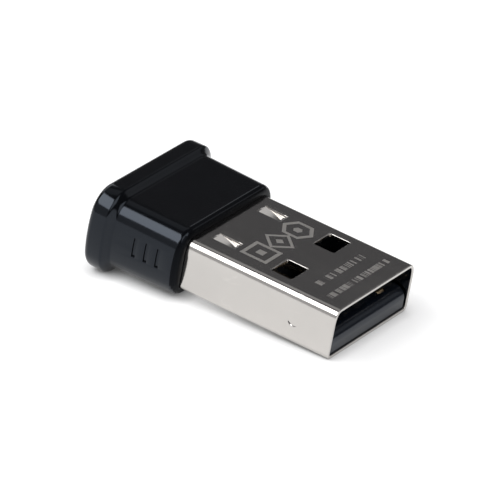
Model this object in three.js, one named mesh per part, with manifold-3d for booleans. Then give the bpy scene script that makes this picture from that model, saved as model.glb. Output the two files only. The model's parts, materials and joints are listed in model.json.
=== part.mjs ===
// A miniature USB radio adapter: a folded sheet-metal plug shell with its contact carrier and four
// contacts, a small circuit board with its chips, and a flanged plastic cap over the rear end.
// Millimetres, +X out of the plug's mouth, +Z up, origin at the middle of the underside.

import * as THREE from "three";
import { mergeVertices } from "three/addons/utils/BufferGeometryUtils.js";
import Module from "manifold-3d";

const wasm = await Module();
wasm.setup();

// ---------------------------------------------------------------- driving dimensions

// The plug: a standard-A shell. Its x runs from the cap's front face, its z from the shell's underside.
const plug = { width: 12.0, height: 4.5, reach: 14.4, sheet: 0.3, rearX: -2.6 };
plug.topRadius = 0.8;
plug.topTilt = 16; // degrees of lean at which a top fold eases into its slack flank
plug.flankRadius = 2.8;
plug.bottomRadius = 0.5;
const shellWindow = { x: 8.05, y: 3.16, length: 1.96, width: 2.5 };
const lance = { rearX: 0.95, length: 2.25, width: 1.15, y: 3.35, drop: 0.42, slit: 0.03 };
const sideDimple = { x: 10.75, z: 2.1, radius: 0.6, depth: 0.12 };
const seamGap = 0.04;

// The cap: a body around the plug's rear end, a ramp, and a flange to pull it by. Its sides are
// bowed: below the given lean, in degrees, each corner eases into a bow that ends near mid height.
const cap = { neckHalf: [7.15, 3.2], frontHalf: [7.05, 3.08], bodyRadius: 1.9, bodyTilt: 14 };
cap.frontEdge = 0.6;
cap.flangeHalf = [7.8, 3.8];
cap.flangeRadius = 2.4;
cap.flangeTilt = 10;
cap.flangeEdge = 0.55;
cap.footX = -6.2;
cap.ridgeX = -6.9;
cap.rearX = -8.5;
cap.rearWall = 0.9;
cap.bowShare = 0.97; // how far down to mid height a bow reaches
const gripGroove = { firstX: -4.1, pitch: 1.12, count: 3, width: 0.25, z: [1.6, 3.3], depth: 0.3 };

// The carrier: the tongue that holds the contacts, and the hollow block behind it.
const tongue = { topZ: 2.14, frontX: plug.reach - 0.15, halfWidth: 5.5, lip: 0.45 };
const block = { rearX: 0.4, frontX: 5.75, wallX: 4.9 };
const contact = { width: 1.0, thickness: 0.25, proud: 0.06, tailX: 2.7, tip: 0.35 };
const contactRows = [
  { name: "contact_vbus", y: 3.5, setBack: 1.25 },
  { name: "contact_data_minus", y: 1.0, setBack: 2.25 },
  { name: "contact_data_plus", y: -1.0, setBack: 2.25 },
  { name: "contact_ground", y: -3.5, setBack: 1.25 },
];

// The board and what is soldered to it.
const board = { rearX: -7.4, frontX: 4.8, halfWidth: 5.15, thickness: 0.8 };
const clearance = 0.02; // between pieces that touch on the real object
const cornerSteps = 5; // segments in a corner
const flankSteps = 3; // segments in a flank

const midZ = plug.height / 2;
const contactTopZ = tongue.topZ + contact.proud;
const contactBottomZ = contactTopZ - contact.thickness;
const boardTopZ = contactBottomZ - clearance;
const boardBottomZ = boardTopZ - board.thickness;

// ---------------------------------------------------------------- materials

const finish = (color, roughness, metalness) =>
  new THREE.MeshStandardMaterial({ color, roughness, metalness });
const glossBlack = finish(0x14161a, 0.18, 0);
const mattBlack = finish(0x1a1b1d, 0.5, 0);
const nickelSteel = finish(0xc9c5bf, 0.22, 1);
const gold = finish(0xd9ae55, 0.25, 1);
const boardGreen = finish(0x14532d, 0.45, 0);
const chipEpoxy = finish(0x202124, 0.55, 0);
const tinned = finish(0xc4c6c8, 0.35, 1);
const ceramicTan = finish(0xa98c66, 0.5, 0);
const ceramicWhite = finish(0xd8d6cd, 0.45, 0);

// ---------------------------------------------------------------- solids

function solid(geometry) {
  const bare = geometry.index ? geometry.toNonIndexed() : geometry.clone();
  bare.deleteAttribute("normal");
  bare.deleteAttribute("uv");
  const merged = mergeVertices(bare, 1e-4);
  const mesh = new wasm.Mesh({
    numProp: 3,
    vertProperties: new Float32Array(merged.attributes.position.array),
    triVerts: new Uint32Array(merged.index.array),
  });
  return new wasm.Manifold(mesh);
}

function geometryOf(manifold) {
  const mesh = manifold.getMesh();
  const geometry = new THREE.BufferGeometry();
  geometry.setAttribute("position", new THREE.BufferAttribute(mesh.vertProperties, 3));
  geometry.setIndex(new THREE.BufferAttribute(mesh.triVerts, 1));
  geometry.computeVertexNormals();
  return geometry;
}

function box([x0, x1], [y0, y1], [z0, z1]) {
  const geometry = new THREE.BoxGeometry(x1 - x0, y1 - y0, z1 - z0);
  geometry.translate((x0 + x1) / 2, (y0 + y1) / 2, (z0 + z1) / 2);
  return geometry;
}

// A quarter ring as [y, z] from the middle, from the top flat down to the side: a corner that
// turns from the top to the given tilt, then a flank that turns on to upright.
function quarter([halfY, halfZ], { radius, tilt, flank }) {
  const lean = THREE.MathUtils.degToRad(tilt);
  const startY = halfY - radius * Math.cos(lean) - flank * (1 - Math.cos(lean));
  const startZ = halfZ - radius;
  const points = [];
  for (let step = 0; step <= cornerSteps; step++) {
    const turn = Math.PI / 2 + ((lean - Math.PI / 2) * step) / cornerSteps;
    points.push([startY + radius * Math.cos(turn), startZ + radius * Math.sin(turn)]);
  }
  const [endY, endZ] = points[cornerSteps];
  for (let step = 1; step <= flankSteps; step++) {
    const turn = lean * (1 - step / flankSteps);
    const out = flank * (Math.cos(turn) - Math.cos(lean));
    points.push([endY + out, endZ - flank * (Math.sin(lean) - Math.sin(turn))]);
  }
  return points;
}

// A whole ring, anticlockwise seen from the front, about the plug's middle line.
function ring(half, top, bottom) {
  const below = quarter(half, bottom).map(([y, z]) => [y, -z]);
  const right = [...below, ...quarter(half, top).reverse()];
  const left = right.map(([y, z]) => [-y, z]).reverse();
  return [...right, ...left].map(([y, z]) => [y, midZ + z]);
}

// The plug's outline, taken in by an inset.
function plugOutline(inset) {
  const half = [plug.width / 2 - inset, plug.height / 2 - inset];
  const flank = plug.flankRadius - inset;
  const top = { radius: Math.max(plug.topRadius - inset, 0.1), tilt: plug.topTilt, flank };
  const bottomRadius = Math.max(plug.bottomRadius - inset, 0.1);
  const bottom = { radius: bottomRadius, tilt: plug.topTilt, flank: bottomRadius };
  return new THREE.Shape(ring(half, top, bottom).map(([y, z]) => new THREE.Vector2(y, z)));
}

// A ring of the cap's outside, the same above and below.
function capRing(half, radius, tilt) {
  const lean = Math.sin(THREE.MathUtils.degToRad(tilt));
  const flank = (cap.bowShare * half[1] - radius * (1 - lean)) / lean;
  const corner = { radius, tilt, flank };
  return ring(half, corner, corner);
}

// Extrudes an outline drawn in Y and Z along X.
function alongX(shape, x0, x1) {
  const geometry = new THREE.ExtrudeGeometry(shape, { depth: x1 - x0, bevelEnabled: false });
  geometry.applyMatrix4(new THREE.Matrix4().set(0, 0, 1, x0, 1, 0, 0, 0, 0, 1, 0, 0, 0, 0, 0, 1));
  return geometry;
}

// Extrudes an outline drawn in X and Z along Y.
function alongY(points, y0, y1) {
  const shape = new THREE.Shape(points.map(([x, z]) => new THREE.Vector2(x, z)));
  const geometry = new THREE.ExtrudeGeometry(shape, { depth: y1 - y0, bevelEnabled: false });
  geometry.rotateX(Math.PI / 2);
  geometry.translate(0, y1, 0);
  return geometry;
}

// A round plug of material along Y, from y0 to y1.
function discAlongY(x, z, radius, y0, y1) {
  const geometry = new THREE.CylinderGeometry(radius, radius, y1 - y0, 4 * cornerSteps);
  geometry.translate(x, (y0 + y1) / 2, z);
  return geometry;
}

// A closed skin through rings of the cap, each {x, half: [y, z], radius, tilt}, from the rear forwards.
function loft(sections) {
  const rings = sections.map(({ x, half, radius, tilt }) =>
    capRing(half, radius, tilt).map(([y, z]) => [x, y, z]),
  );
  const count = rings[0].length;
  const places = rings.flat(2);
  const faces = [];
  const at = (ring, i) => ring * count + (i % count);
  for (let ring = 0; ring + 1 < rings.length; ring++) {
    for (let i = 0; i < count; i++) {
      faces.push(at(ring, i), at(ring + 1, i), at(ring + 1, i + 1));
      faces.push(at(ring, i), at(ring + 1, i + 1), at(ring, i + 1));
    }
  }
  const last = rings.length - 1;
  for (let i = 1; i + 1 < count; i++) {
    faces.push(at(0, 0), at(0, i), at(0, i + 1));
    faces.push(at(last, 0), at(last, i + 1), at(last, i));
  }
  const geometry = new THREE.BufferGeometry();
  geometry.setAttribute("position", new THREE.Float32BufferAttribute(places, 3));
  // Turned round: a ring runs anticlockwise seen from the front, so the skin above faces in.
  geometry.setIndex(faces.reverse());
  return geometry;
}

// A chip's body: a block whose top edge is chamfered, standing on z0.
function chamferedBlock(centre, size, z0, chamfer) {
  const [length, width, height] = size;
  const shape = new THREE.Shape([
    new THREE.Vector2(-length / 2 + chamfer, -width / 2 + chamfer),
    new THREE.Vector2(length / 2 - chamfer, -width / 2 + chamfer),
    new THREE.Vector2(length / 2 - chamfer, width / 2 - chamfer),
    new THREE.Vector2(-length / 2 + chamfer, width / 2 - chamfer),
  ]);
  const geometry = new THREE.ExtrudeGeometry(shape, {
    depth: height - 2 * chamfer,
    bevelSize: chamfer,
    bevelThickness: chamfer,
    bevelSegments: 1,
  });
  geometry.translate(centre[0], centre[1], z0 + chamfer);
  return geometry;
}

// ---------------------------------------------------------------- plug shell

// One lanced tab: a tongue cut on three sides and bent down, still joined to the sheet at its rear.
function lancedTab(y) {
  const { rearX, length, width, drop, slit } = lance;
  const angle = Math.atan2(drop, length);
  const top = plug.height;
  const under = plug.sheet;
  const free = [rearX + length * Math.cos(angle), top - length * Math.sin(angle)];
  const profile = [
    [rearX - 0.2, top - under],
    [rearX + under * Math.tan(angle / 2), top - under],
    [free[0] - under * Math.sin(angle), free[1] - under * Math.cos(angle)],
    free,
    [rearX, top],
    [rearX - 0.2, top],
  ];
  return alongY(profile, y - width / 2 + slit, y + width / 2 - slit);
}

function plugShell() {
  let shell = solid(alongX(plugOutline(0), plug.rearX, plug.reach));
  shell = shell.subtract(solid(alongX(plugOutline(plug.sheet), plug.rearX - 1, plug.reach + 1)));
  for (const side of [-1, 1]) {
    const { x, y, length, width } = shellWindow;
    const spanX = [x - length / 2, x + length / 2];
    const spanY = [side * y - width / 2, side * y + width / 2];
    shell = shell.subtract(solid(box(spanX, spanY, [-1, plug.height + 1])));
    const lanceY = side * lance.y;
    const cutX = [lance.rearX, lance.rearX + lance.length];
    const cutY = [lanceY - lance.width / 2, lanceY + lance.width / 2];
    shell = shell.subtract(solid(box(cutX, cutY, [midZ, plug.height + 1])));
    shell = shell.add(solid(lancedTab(lanceY)));
    // The side dimple is pressed in from outside, so it stands proud of the inner wall.
    const { x: dx, z: dz, radius, depth } = sideDimple;
    const wall = plug.width / 2;
    const inner = wall - plug.sheet;
    const bump = [side * (inner - depth), side * (inner + 0.1)].sort((a, b) => a - b);
    const dent = [side * (wall - depth), side * (wall + 1)].sort((a, b) => a - b);
    shell = shell.add(solid(discAlongY(dx, dz, radius + 0.1, ...bump)));
    shell = shell.subtract(solid(discAlongY(dx, dz, radius, ...dent)));
  }
  const seam = box([plug.rearX - 1, plug.reach + 1], [-seamGap / 2, seamGap / 2], [-1, 1]);
  return shell.subtract(solid(seam));
}

// ---------------------------------------------------------------- carrier and contacts

function contactFrontX(row) {
  return plug.reach - row.setBack;
}

function contactCarrier() {
  const inset = plug.sheet + 0.04;
  const { frontX, halfWidth, topZ, lip } = tongue;
  let carrier = solid(alongX(plugOutline(inset), block.rearX, block.frontX));
  // The tongue's front edge is rounded over, so that the mating tongue rides up on it.
  const profile = [
    [block.frontX - 0.5, inset],
    [frontX - 0.15, inset],
    [frontX, inset + 0.15],
  ];
  for (let step = 0; step <= cornerSteps; step++) {
    const turn = (step / cornerSteps) * (Math.PI / 2);
    profile.push([frontX - lip + lip * Math.cos(turn), topZ - lip + lip * Math.sin(turn)]);
  }
  profile.push([block.frontX - 0.5, topZ]);
  carrier = carrier.add(solid(alongY(profile, -halfWidth, halfWidth)));
  // The hollow at the rear takes the board's front end.
  const hollow = [boardBottomZ - 0.05, 3.0];
  const hollowY = board.halfWidth + 0.05;
  carrier = carrier.subtract(
    solid(box([block.rearX - 1, block.wallX], [-hollowY, hollowY], hollow)),
  );
  for (const row of contactRows) {
    const grooveY = [row.y - contact.width / 2 - 0.03, row.y + contact.width / 2 + 0.03];
    const grooveX = [block.wallX - 0.1, contactFrontX(row) + 0.08];
    const grooveZ = [contactBottomZ - clearance - contact.tip / 2, contactTopZ + 0.04];
    carrier = carrier.subtract(solid(box(grooveX, grooveY, grooveZ)));
  }
  // The shell's lanced tabs drop into these pockets and stop the carrier from pulling out.
  for (const side of [-1, 1]) {
    const pocketX = [lance.rearX - 0.25, lance.rearX + lance.length + 0.25];
    const pocketY = [side * lance.y - 0.68, side * lance.y + 0.68];
    carrier = carrier.subtract(solid(box(pocketX, pocketY, [3.36, plug.height])));
  }
  return carrier;
}

// A flat strip whose front tip dips into the tongue and whose tail lies on the board.
function contactStrip(row) {
  const front = contactFrontX(row);
  const dip = contact.tip / 2;
  const profile = [
    [contact.tailX, contactBottomZ],
    [front - contact.tip, contactBottomZ],
    [front, contactBottomZ - dip],
    [front, contactTopZ - dip],
    [front - contact.tip, contactTopZ],
    [contact.tailX, contactTopZ],
  ];
  return alongY(profile, row.y - contact.width / 2, row.y + contact.width / 2);
}

// ---------------------------------------------------------------- cap

function rearCap() {
  const { flangeHalf, flangeRadius, flangeEdge, flangeTilt, bodyRadius, bodyTilt, frontEdge } = cap;
  const sections = [];
  const rounded = (x, half, radius, inset, tilt) =>
    sections.push({ x, half: half.map((h) => h - inset), radius: radius - inset, tilt });
  for (let step = 0; step <= cornerSteps; step++) {
    const turn = (step / cornerSteps) * (Math.PI / 2);
    const x = cap.rearX + flangeEdge * (1 - Math.cos(turn));
    rounded(x, flangeHalf, flangeRadius, flangeEdge * (1 - Math.sin(turn)), flangeTilt);
  }
  rounded(cap.ridgeX, flangeHalf, flangeRadius, 0, flangeTilt);
  rounded(cap.footX, cap.neckHalf, bodyRadius, 0, bodyTilt);
  for (let step = 0; step <= cornerSteps; step++) {
    const turn = (step / cornerSteps) * (Math.PI / 2);
    const x = -frontEdge * (1 - Math.sin(turn));
    rounded(x, cap.frontHalf, bodyRadius, frontEdge * (1 - Math.cos(turn)), bodyTilt);
  }
  let shape = solid(loft(sections));
  // The front of the hollow takes the plug shell, and the rear of it the board.
  const socket = plugOutline(-clearance);
  shape = shape.subtract(solid(alongX(socket, plug.rearX - clearance, 1)));
  const rearHollow = plugOutline(0.45);
  const hollowRear = cap.rearX + cap.rearWall;
  shape = shape.subtract(solid(alongX(rearHollow, hollowRear, plug.rearX + 0.5)));
  // Two ledges inside carry the board's edges.
  for (const side of [-1, 1]) {
    const ledgeY = [side * 5.0, side * 5.8].sort((a, b) => a - b);
    const ledgeX = [hollowRear - 0.2, plug.rearX - 0.2];
    shape = shape.add(solid(box(ledgeX, ledgeY, [0.2, boardBottomZ - clearance])));
    for (let i = 0; i < gripGroove.count; i++) {
      const x = gripGroove.firstX + i * gripGroove.pitch;
      const grooveX = [x - gripGroove.width / 2, x + gripGroove.width / 2];
      const floorY = cap.frontHalf[0] - gripGroove.depth;
      const grooveY = [side * floorY, side * (floorY + 1)].sort((a, b) => a - b);
      shape = shape.subtract(solid(box(grooveX, grooveY, gripGroove.z)));
    }
  }
  return shape;
}

// ---------------------------------------------------------------- board and components

function circuitBoard() {
  const { rearX, frontX, halfWidth } = board;
  let plate = solid(box([rearX, frontX], [-halfWidth, halfWidth], [boardBottomZ, boardTopZ]));
  // A half-round nick in each long edge is left from the panel that the board was broken out of.
  for (const side of [-1, 1]) {
    const nick = new THREE.CylinderGeometry(0.35, 0.35, 2, 4 * cornerSteps);
    nick.rotateX(Math.PI / 2);
    nick.translate(-1.6, side * (halfWidth + 0.1), boardTopZ);
    plate = plate.subtract(solid(nick));
  }
  return plate;
}

// A small two-ended part: a ceramic body with an end cap on each end, along X or Y.
function chipPart([x, y], [length, width, height], turned, z0) {
  const ends = 0.22 * length;
  const step = 0.02;
  const z1 = z0 + height;
  let part = solid(
    box([-length / 2, length / 2], [-width / 2 + step, width / 2 - step], [z0 + step, z1 - step]),
  );
  for (const end of [-1, 1]) {
    const span = [end * (length / 2 - ends), (end * length) / 2].sort((a, b) => a - b);
    part = part.add(solid(box(span, [-width / 2, width / 2], [z0, z1])));
  }
  const geometry = geometryOf(part);
  if (turned) geometry.rotateZ(Math.PI / 2);
  geometry.translate(x, y, 0);
  return geometry;
}

// A gull-wing lead that leaves the regulator's body, steps down and stands on its pad.
function regulatorLead(x, y, direction) {
  const seatZ = boardTopZ + clearance;
  const thick = 0.14;
  const profile = [
    [0.02, 0.4],
    [0.2, 0.4],
    [0.32, 0],
    [0.58, 0],
    [0.58, thick],
    [0.42, thick],
    [0.3, 0.4 + thick],
    [0.02, 0.4 + thick],
  ];
  const points = profile.map(([along, up]) => [along, seatZ + up]);
  const geometry = alongY(points, -0.2, 0.2);
  if (direction < 0) geometry.rotateZ(Math.PI);
  geometry.translate(x, y, 0);
  return geometry;
}

// ---------------------------------------------------------------- assembly

const adapter = new THREE.Group();
const plugFrame = new THREE.Group();
const overallLength = plug.reach - cap.rearX;
plugFrame.position.set(overallLength / 2 - plug.reach, 0, cap.flangeHalf[1] - midZ);
adapter.add(plugFrame);

function place(name, shape, material) {
  const geometry = shape.isBufferGeometry ? shape : geometryOf(shape);
  const mesh = new THREE.Mesh(geometry, material);
  mesh.name = name;
  plugFrame.add(mesh);
}

place("rear_cap", rearCap(), glossBlack);
place("plug_shell", plugShell(), nickelSteel);
place("contact_carrier", contactCarrier(), mattBlack);
for (const row of contactRows) place(row.name, contactStrip(row), gold);
place("circuit_board", circuitBoard(), boardGreen);

const onTop = boardTopZ + clearance;
place("radio_chip", chamferedBlock([-2.75, 0], [5.0, 5.0, 0.85], onTop, 0.05), chipEpoxy);
place("memory_chip", chamferedBlock([-2.2, -3.9], [3.0, 2.0, 0.75], onTop, 0.05), chipEpoxy);
place("crystal_base", chamferedBlock([-2.0, 3.9], [2.5, 2.0, 0.25], onTop, 0.03), ceramicWhite);
const lidZ = onTop + 0.25 + clearance;
place("crystal_lid", chamferedBlock([-2.0, 3.9], [2.3, 1.8, 0.35], lidZ, 0.05), nickelSteel);
place("chip_antenna", chipPart([-6.45, 1.7], [5.0, 1.5, 1.0], true, onTop), ceramicWhite);
place("balun_filter", chipPart([-6.3, -2.6], [2.0, 1.25, 0.7], true, onTop), ceramicTan);

const regulator = { x: 1.2, y: -2.7, body: [1.6, 2.9, 0.72], standOff: 0.12 };
const regulatorZ = onTop + regulator.standOff;
place(
  "voltage_regulator",
  chamferedBlock([regulator.x, regulator.y], regulator.body, regulatorZ, 0.06),
  chipEpoxy,
);
const leadPlaces = [
  [1, -0.95],
  [1, 0],
  [1, 0.95],
  [-1, -0.95],
  [-1, 0.95],
];
leadPlaces.forEach(([direction, offset], i) => {
  const x = regulator.x + direction * (regulator.body[0] / 2);
  place(`regulator_lead_${i + 1}`, regulatorLead(x, regulator.y + offset, direction), tinned);
});

place("ferrite_bead", chipPart([1.2, 3.9], [1.6, 0.8, 0.8], false, onTop), chipEpoxy);
const resistorPlaces = [
  [1.3, 1.6],
  [1.3, 0.6],
];
resistorPlaces.forEach((at, i) => {
  place(`resistor_${i + 1}`, chipPart(at, [1.0, 0.5, 0.35], false, onTop), chipEpoxy);
});
const capacitorTop = [
  [-4.9, 4.4],
  [-4.9, 3.6],
  [-4.9, -3.6],
  [-4.9, -4.5],
];
const capacitorUnder = [
  [-3.4, 2.4],
  [-3.4, 0.8],
  [-3.4, -0.8],
  [-3.4, -2.4],
];
const capacitorSize = [1.0, 0.5, 0.5];
const underZ = boardBottomZ - clearance - capacitorSize[2];
[...capacitorTop, ...capacitorUnder].forEach((at, i) => {
  const z0 = i < capacitorTop.length ? onTop : underZ;
  place(`capacitor_${i + 1}`, chipPart(at, capacitorSize, false, z0), ceramicTan);
});

export default adapter;
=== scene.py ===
"""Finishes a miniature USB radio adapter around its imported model: an add-on, run as a script.

The cap, the plug shell, the contact carrier, the contacts and the small soldered parts are modelled
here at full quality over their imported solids. The board, the chips and the leads keep their solids.
"""

import json
import math

import bmesh
import bpy
from bpy.props import FloatProperty, FloatVectorProperty, PointerProperty
from mathutils import Matrix, Quaternion, Vector


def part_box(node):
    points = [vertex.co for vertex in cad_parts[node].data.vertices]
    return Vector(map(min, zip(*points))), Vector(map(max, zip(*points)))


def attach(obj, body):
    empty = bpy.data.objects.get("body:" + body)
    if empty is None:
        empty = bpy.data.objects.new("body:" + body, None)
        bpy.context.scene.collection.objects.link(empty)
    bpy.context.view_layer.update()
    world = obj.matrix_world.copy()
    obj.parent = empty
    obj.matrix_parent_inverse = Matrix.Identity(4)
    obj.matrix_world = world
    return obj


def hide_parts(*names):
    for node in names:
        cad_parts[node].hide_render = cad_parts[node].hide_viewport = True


bl_info = {
    "name": "USB radio adapter",
    "version": (1, 0, 0),
    "blender": (4, 5, 0),
    "location": "3D View > Sidebar > Adapter",
    "description": "Models and finishes the pieces of a miniature USB radio adapter",
    "category": "Add Mesh",
}

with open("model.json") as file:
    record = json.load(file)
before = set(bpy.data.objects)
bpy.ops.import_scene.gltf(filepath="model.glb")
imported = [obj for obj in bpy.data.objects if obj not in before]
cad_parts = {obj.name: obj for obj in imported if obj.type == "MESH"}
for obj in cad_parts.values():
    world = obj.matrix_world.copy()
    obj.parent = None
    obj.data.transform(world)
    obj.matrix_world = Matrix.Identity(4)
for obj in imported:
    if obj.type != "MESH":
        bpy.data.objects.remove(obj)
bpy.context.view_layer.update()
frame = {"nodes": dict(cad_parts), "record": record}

MM = 0.001

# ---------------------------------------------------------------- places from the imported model

shell_low, shell_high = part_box("plug_shell")
cap_low, cap_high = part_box("rear_cap")
carrier_low, carrier_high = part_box("contact_carrier")

MOUTH_X = shell_high.x
CAP_FRONT_X = cap_high.x
MID_Z = (shell_low.z + shell_high.z) / 2
TOP_Z = shell_high.z
SHELL_HALF = (shell_high.y, (shell_high.z - shell_low.z) / 2)
FLANGE_HALF = (cap_high.y, (cap_high.z - cap_low.z) / 2)
CONTACT_NODES = ("contact_vbus", "contact_data_minus", "contact_data_plus", "contact_ground")

# ---------------------------------------------------------------- fixed numbers

SAME = 1e-7  # places closer than this are one place
NEAR = 1e-6  # places closer than this lie on one line or face
SKIN = 0.01 * MM  # how far above and below a flat face its own faces are looked for
CORNER_STEPS = 14  # segments in a corner of an outline
FLANK_STEPS = 6  # segments in a flank of an outline
BOW_SHARE = 0.97  # share of the cap's half height at which its bowed side ends
GAP = 0.02 * MM  # between a piece and the hollow that it sits in
SENSOR_WIDTH = 36.0  # millimetres across the camera's sensor
FLOOR_HALF = 0.45  # metres from the middle of the floor to its sides
LAMP_DISTANCE = 0.8  # metres from the adapter to each soft light

# Each soft light: its name, azimuth and elevation in degrees, size in metres and brightness.
SOFTBOXES = (
    ("key_spread", -30.0, 30.0, (1.15, 1.0), 0.45),
    ("key_core", -38.0, 46.0, (0.9, 0.5), 4.5),
    ("overhead_bounce", -130.0, 62.0, (0.6, 0.26), 0.3),
    ("mouth_softbox", 75.0, 40.0, (0.7, 0.7), 1.6),
    ("rear_softbox", -120.0, 30.0, (0.6, 0.3), 1.4),
    ("far_strip", 150.0, 24.0, (0.5, 0.22), 0.33),
    ("tab_light", 199.0, 36.0, (0.1, 0.15), 0.75),
)

# The etched marks, in millimetres. A row of bars: its place along the plug, its half height, its
# half length and the spacing of its bars. A sign: its place across the plug and its outline.
BAR_ROWS = ((12.65, 0.3, 4.35, 0.21), (10.9, 0.33, 3.35, 0.23))
SIGNS = ((-2.72, "square"), (0.0, "diamond"), (2.72, "hexagon"))
SIGNS_ALONG = 5.0  # from the cap to the middle of the signs
SIGN_OUTLINE = (0.96, 1.28)  # inner and outer reach of a sign's outline
SIGN_CORE = 0.36  # reach of the spot inside a sign


# ---------------------------------------------------------------- settings


def length(name, default, description):
    """A length in metres, shown in the scene's own unit."""
    return FloatProperty(
        name=name, description=description, default=default, min=0.0, precision=5,
        unit="LENGTH", subtype="DISTANCE",
    )


def share(name, default, description):
    """A plain factor from 0 to 1."""
    return FloatProperty(
        name=name, description=description, default=default, min=0.0, max=1.0, subtype="FACTOR"
    )


def lean(name, degrees, description):
    """An angle, given in degrees and kept off zero, at which a flank would be endless."""
    return FloatProperty(
        name=name, description=description, default=math.radians(degrees), min=0.01, subtype="ANGLE"
    )


def colour(name, default, description):
    """A colour, in linear light."""
    return FloatVectorProperty(
        name=name, description=description, default=default, size=3, min=0.0, max=1.0,
        subtype="COLOR",
    )


class ADAPTER_PG_cap(bpy.types.PropertyGroup):
    """Sizes and colour of the moulded cap."""

    neck_half_width: length("Neck half width", 7.15 * MM, "Middle to side, at the neck")
    neck_half_height: length("Neck half height", 3.2 * MM, "Middle to top, at the neck")
    front_half_width: length("Front half width", 7.05 * MM, "Middle to side, at the front")
    front_half_height: length("Front half height", 3.08 * MM, "Middle to top, at the front")
    body_radius: length("Body corner radius", 1.9 * MM, "Radius of the body's long edges")
    body_tilt: lean("Body lean", 14.0, "Lean where the corners meet the bowed sides")
    flange_radius: length("Flange corner radius", 2.4 * MM, "Radius of the flange's four corners")
    flange_tilt: lean("Flange lean", 10.0, "Lean where the corners meet the bowed sides")
    flange_edge: length("Flange rear edge", 0.55 * MM, "Rounding between the rim and the rear face")
    flange_length: length("Flange length", 1.6 * MM, "From the rear face to the ridge")
    ramp_length: length("Ramp length", 0.7 * MM, "From the ridge down to the body")
    front_edge: length("Front edge", 0.6 * MM, "Rounding around the front face")
    groove_depth: length("Groove depth", 0.16 * MM, "Depth of the grip grooves in the sides")
    colour: colour("Plastic", (0.0011, 0.0012, 0.0016), "Colour of the moulded plastic")
    gloss_tint: colour("Gloss tint", (0.74, 0.84, 1.0), "Tint of the plastic's mirror image")


class ADAPTER_PG_plug(bpy.types.PropertyGroup):
    """Sizes and colour of the folded metal shell."""

    sheet: length("Sheet thickness", 0.3 * MM, "Thickness of the folded sheet")
    top_radius: length("Top fold radius", 0.8 * MM, "Outside radius of the two folds at the top")
    top_tilt: lean("Top fold lean", 16.0, "Lean at which a top fold eases into its slack flank")
    flank_radius: length("Flank radius", 2.8 * MM, "Outside radius of the flank below a top fold")
    bottom_radius: length("Bottom fold radius", 0.5 * MM, "Outside radius of the two lower folds")
    window_length: length("Window length", 1.96 * MM, "Along the plug")
    window_width: length("Window width", 2.5 * MM, "Across the plug")
    window_side: length("Window offset", 3.16 * MM, "From the middle line to a window's middle")
    window_back: length("Window setback", 6.35 * MM, "From the mouth to a window's middle")
    lance_length: length("Lance length", 2.25 * MM, "Length of each bent tab")
    lance_width: length("Lance width", 1.15 * MM, "Width of each bent tab's slot")
    lance_side: length("Lance offset", 3.35 * MM, "From the middle line to a tab's middle")
    lance_start: length("Lance start", 0.95 * MM, "From the cap to a tab's bend")
    lance_drop: length("Lance drop", 0.42 * MM, "How far a tab's end is pressed in")
    edge: length("Edge rounding", 0.05 * MM, "Rounding of the sheared edges")
    colour: colour("Plated steel", (0.535, 0.515, 0.492), "Colour of the plating")


class ADAPTER_PG_inside(bpy.types.PropertyGroup):
    """Colours of the carrier, the contacts and the board."""

    carrier: colour("Carrier plastic", (0.004, 0.006, 0.010), "Colour of the contact carrier")
    gold: colour("Contact plating", (0.42, 0.33, 0.22), "Colour of the contacts' plating")
    mask: colour("Solder mask", (0.010, 0.115, 0.045), "Colour of the board's coating")
    epoxy: colour("Chip epoxy", (0.018, 0.018, 0.020), "Colour of the chips' moulding")


class ADAPTER_PG_stage(bpy.types.PropertyGroup):
    """The camera and the light."""

    azimuth: FloatProperty(
        name="Azimuth", description="Turn of the camera from the adapter's near side",
        default=math.radians(28.293), subtype="ANGLE",
    )
    elevation: FloatProperty(
        name="Elevation", description="Height of the camera above the plug's plane",
        default=math.radians(29.028), subtype="ANGLE",
    )
    roll: FloatProperty(
        name="Roll", description="Tip of the camera about its own line of sight",
        default=math.radians(10.768), subtype="ANGLE",
    )
    distance: length("Distance", 487 * MM, "From the camera to the point it looks at")
    lens: FloatProperty(
        name="Lens", description="Focal length in millimetres", default=432.0, min=1.0
    )
    aim: FloatVectorProperty(
        name="Aim", description="Point the camera looks at", size=3, precision=5,
        default=(-1.458 * MM, 1.846 * MM, 2.923 * MM), subtype="TRANSLATION", unit="LENGTH",
    )
    room: share("Room brightness", 0.1, "Grey of the room beyond the lights")


# ---------------------------------------------------------------- mesh helpers


def quarter(half, radius, tilt, flank):
    """Points (y, z) from the top flat down to the side: a corner down to the tilt, then a flank."""
    start_y = half[0] - radius * math.cos(tilt) - flank * (1 - math.cos(tilt))
    start_z = half[1] - radius
    points = []
    for step in range(CORNER_STEPS + 1):
        turn = math.pi / 2 + (tilt - math.pi / 2) * step / CORNER_STEPS
        points.append((start_y + radius * math.cos(turn), start_z + radius * math.sin(turn)))
    end_y, end_z = points[-1]
    for step in range(1, FLANK_STEPS + 1):
        turn = tilt * (1 - step / FLANK_STEPS)
        out = flank * (math.cos(turn) - math.cos(tilt))
        points.append((end_y + out, end_z - flank * (math.sin(tilt) - math.sin(turn))))
    return points


def whole_ring(half, top, bottom):
    """Points (y, z) anticlockwise about the middle line. Top and bottom: radius, tilt, flank."""
    below = [(y, -z) for y, z in quarter(half, *bottom)]
    right = below + quarter(half, *top)[::-1]
    left = [(-y, z) for y, z in right][::-1]
    return [(y, MID_Z + z) for y, z in right + left]


def shell_ring(inset):
    """The plug shell's outline, taken in by an inset."""
    plug = bpy.context.scene.adapter_plug
    half = [size - inset for size in SHELL_HALF]
    least = 0.1 * MM
    radius = max(plug.top_radius - inset, least)
    bottom = max(plug.bottom_radius - inset, least)
    top = (radius, plug.top_tilt, plug.flank_radius - inset)
    return whole_ring(half, top, (bottom, plug.top_tilt, bottom))


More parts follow.
